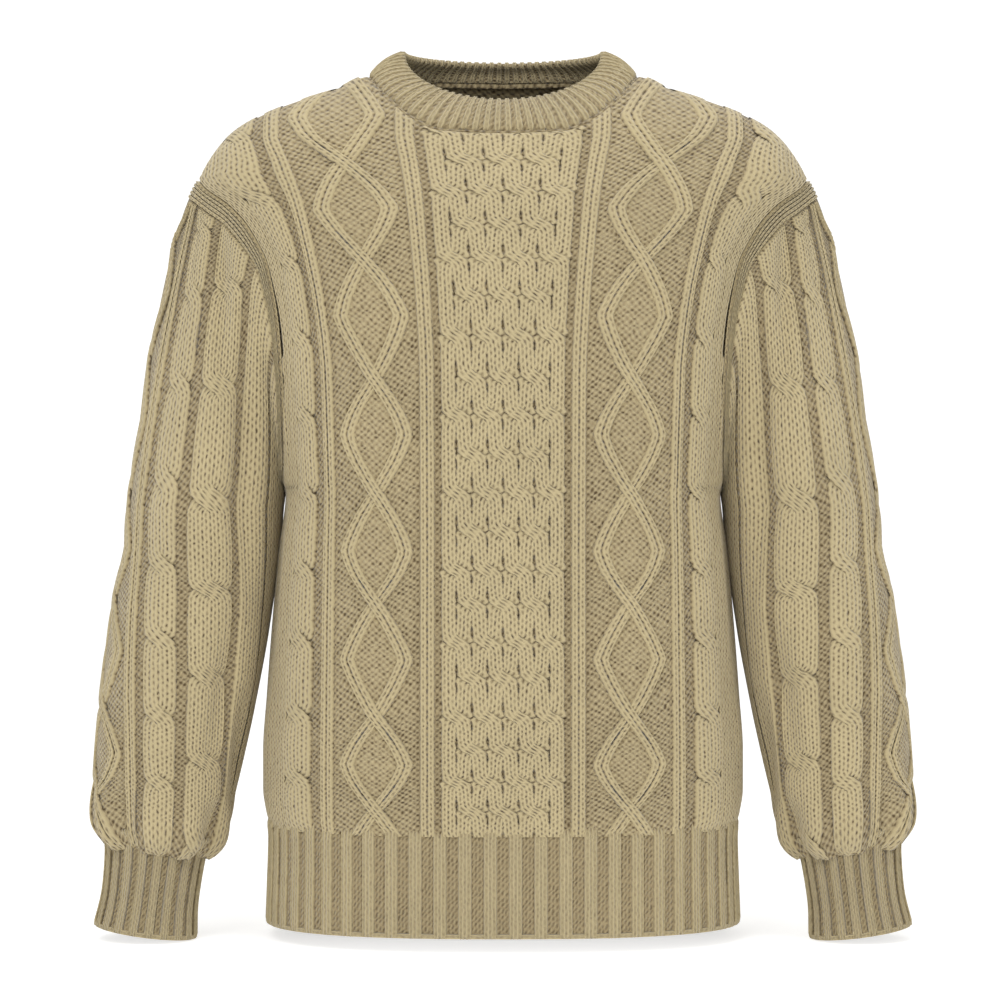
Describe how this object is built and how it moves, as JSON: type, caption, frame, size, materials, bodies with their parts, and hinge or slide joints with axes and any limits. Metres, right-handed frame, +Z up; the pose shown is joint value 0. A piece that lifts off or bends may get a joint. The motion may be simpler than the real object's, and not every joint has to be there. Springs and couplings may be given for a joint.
{
  "type": "cable knit crew neck sweater",
  "caption": "Long sleeved crew neck cable knit sweater, filled out as worn, with open neck, hem and cuffs.",
  "frame": {"origin": "midway between the two high shoulder points, where the sweater hangs on the wearer", "axes": "+Z up towards the neck, the sweater's front faces -Y, the wearer's left arm is at +X"},
  "size_m": [0.6786, 0.2526, 0.722],
  "materials": {
    "body_knit": "matte, cable knit wool",
    "sleeve_knit": "matte, cable knit wool",
    "rib_knit": "matte, ribbed wool"
  },
  "bodies": {
    "root": {"front_panel": "body_knit", "back_panel": "body_knit", "sleeve_left": "sleeve_knit", "sleeve_right": "sleeve_knit", "neckband": "rib_knit", "hem_rib_front": "rib_knit", "hem_rib_back": "rib_knit", "cuff_left": "rib_knit", "cuff_right": "rib_knit"}
  },
  "joints": []
}
